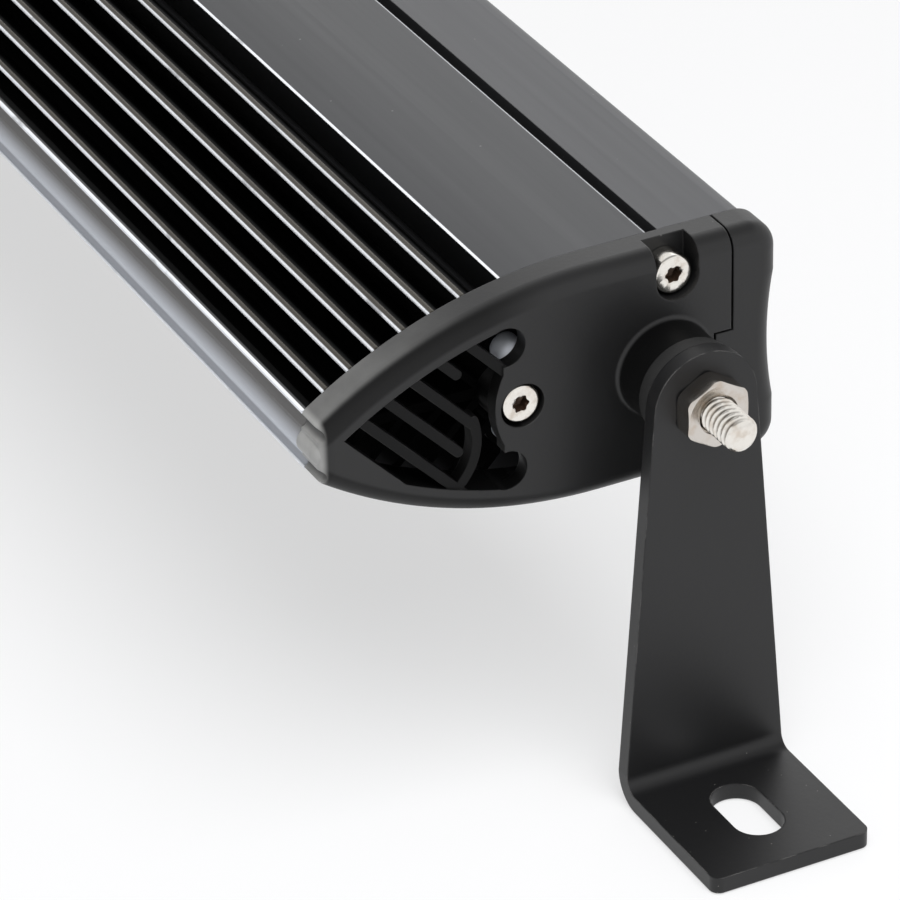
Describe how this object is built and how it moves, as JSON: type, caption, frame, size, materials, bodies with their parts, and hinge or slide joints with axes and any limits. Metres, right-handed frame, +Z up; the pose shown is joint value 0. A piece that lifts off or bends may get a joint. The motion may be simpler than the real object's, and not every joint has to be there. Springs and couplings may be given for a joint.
{
  "type": "led light bar",
  "caption": "Single-row LED light bar with a finned aluminium housing, cast end caps and a slotted swivel bracket on a through bolt at each end.",
  "frame": {"origin": "midway between the two foot slots, on the surface the feet are bolted to", "axes": "+X along the bar, lens and LEDs face -Y, cooling fins and nose face +Y, +Z up away from the mounting surface"},
  "size_m": [0.603, 0.0859, 0.096],
  "materials": {
    "anodised_housing": "satin black anodised, bright at the worn fin tips",
    "anodised_rail": "satin black anodised",
    "painted_casting": "satin black powder coat on die-cast aluminium",
    "coated_steel": "satin black powder coat on pressed steel",
    "stainless": "bright stainless",
    "bare_aluminium": "bare turned aluminium",
    "black_rubber": "matt black rubber",
    "grey_rubber": "grey silicone rubber",
    "clear_lens": "clear polycarbonate",
    "metallised_plastic": "vacuum-metallised plastic",
    "board_white": "white solder mask on an aluminium-core board",
    "board_green": "green solder mask on glass epoxy",
    "led_ceramic": "white LED package",
    "led_silicone": "yellow-tinted silicone dome",
    "component_black": "moulded epoxy",
    "component_grey": "ferrite",
    "wire_red": "PVC insulation",
    "gland_plastic": "black nylon"
  },
  "bodies": {
    "light_bar": {"heatsink_housing": "anodised_housing", "bezel_rail_top": "anodised_rail", "bezel_rail_bottom": "anodised_rail", "lens": "clear_lens", "lens_gasket": "grey_rubber", "reflector_left": "metallised_plastic", "reflector_centre": "metallised_plastic", "reflector_right": "metallised_plastic", "led_board_left": "board_white", "led_board_centre": "board_white", "led_board_right": "board_white", "led_bases": "led_ceramic", "led_domes": "led_silicone", "led_board_screws": "stainless", "driver_board": "board_green", "driver_inductors": "component_grey", "driver_capacitors": "bare_aluminium", "driver_chips": "component_black", "feed_wires": "wire_red", "wire_grommet": "black_rubber", "board_jumpers": "wire_red", "gland_body": "gland_plastic", "gland_nut": "gland_plastic", "gland_seal": "black_rubber", "gland_washer": "black_rubber", "breather_vent": "gland_plastic", "vent_washer": "black_rubber", "end_cap_left": "painted_casting", "front_end_left": "painted_casting", "end_gasket_left": "grey_rubber", "cap_screws_left": "stainless", "locating_pins_left": "bare_aluminium", "pivot_bolt_left": "stainless", "pivot_washer_left": "black_rubber", "pivot_nut_left": "stainless", "end_cap_right": "painted_casting", "front_end_right": "painted_casting", "end_gasket_right": "grey_rubber", "cap_screws_right": "stainless", "locating_pins_right": "bare_aluminium", "pivot_bolt_right": "stainless", "pivot_washer_right": "black_rubber", "pivot_nut_right": "stainless"},
    "bracket_left": {"bracket_left": "coated_steel"},
    "bracket_right": {"bracket_right": "coated_steel"}
  },
  "joints": [
    {"name": "bracket_left_pivot", "type": "hinge", "parent": "light_bar", "child": "bracket_left", "pos_m": [-0.27, 0, 0.0745], "axis": [1, 0, 0], "continuous": true},
    {"name": "bracket_right_pivot", "type": "hinge", "parent": "light_bar", "child": "bracket_right", "pos_m": [0.27, 0, 0.0745], "axis": [1, 0, 0], "continuous": true}
  ]
}
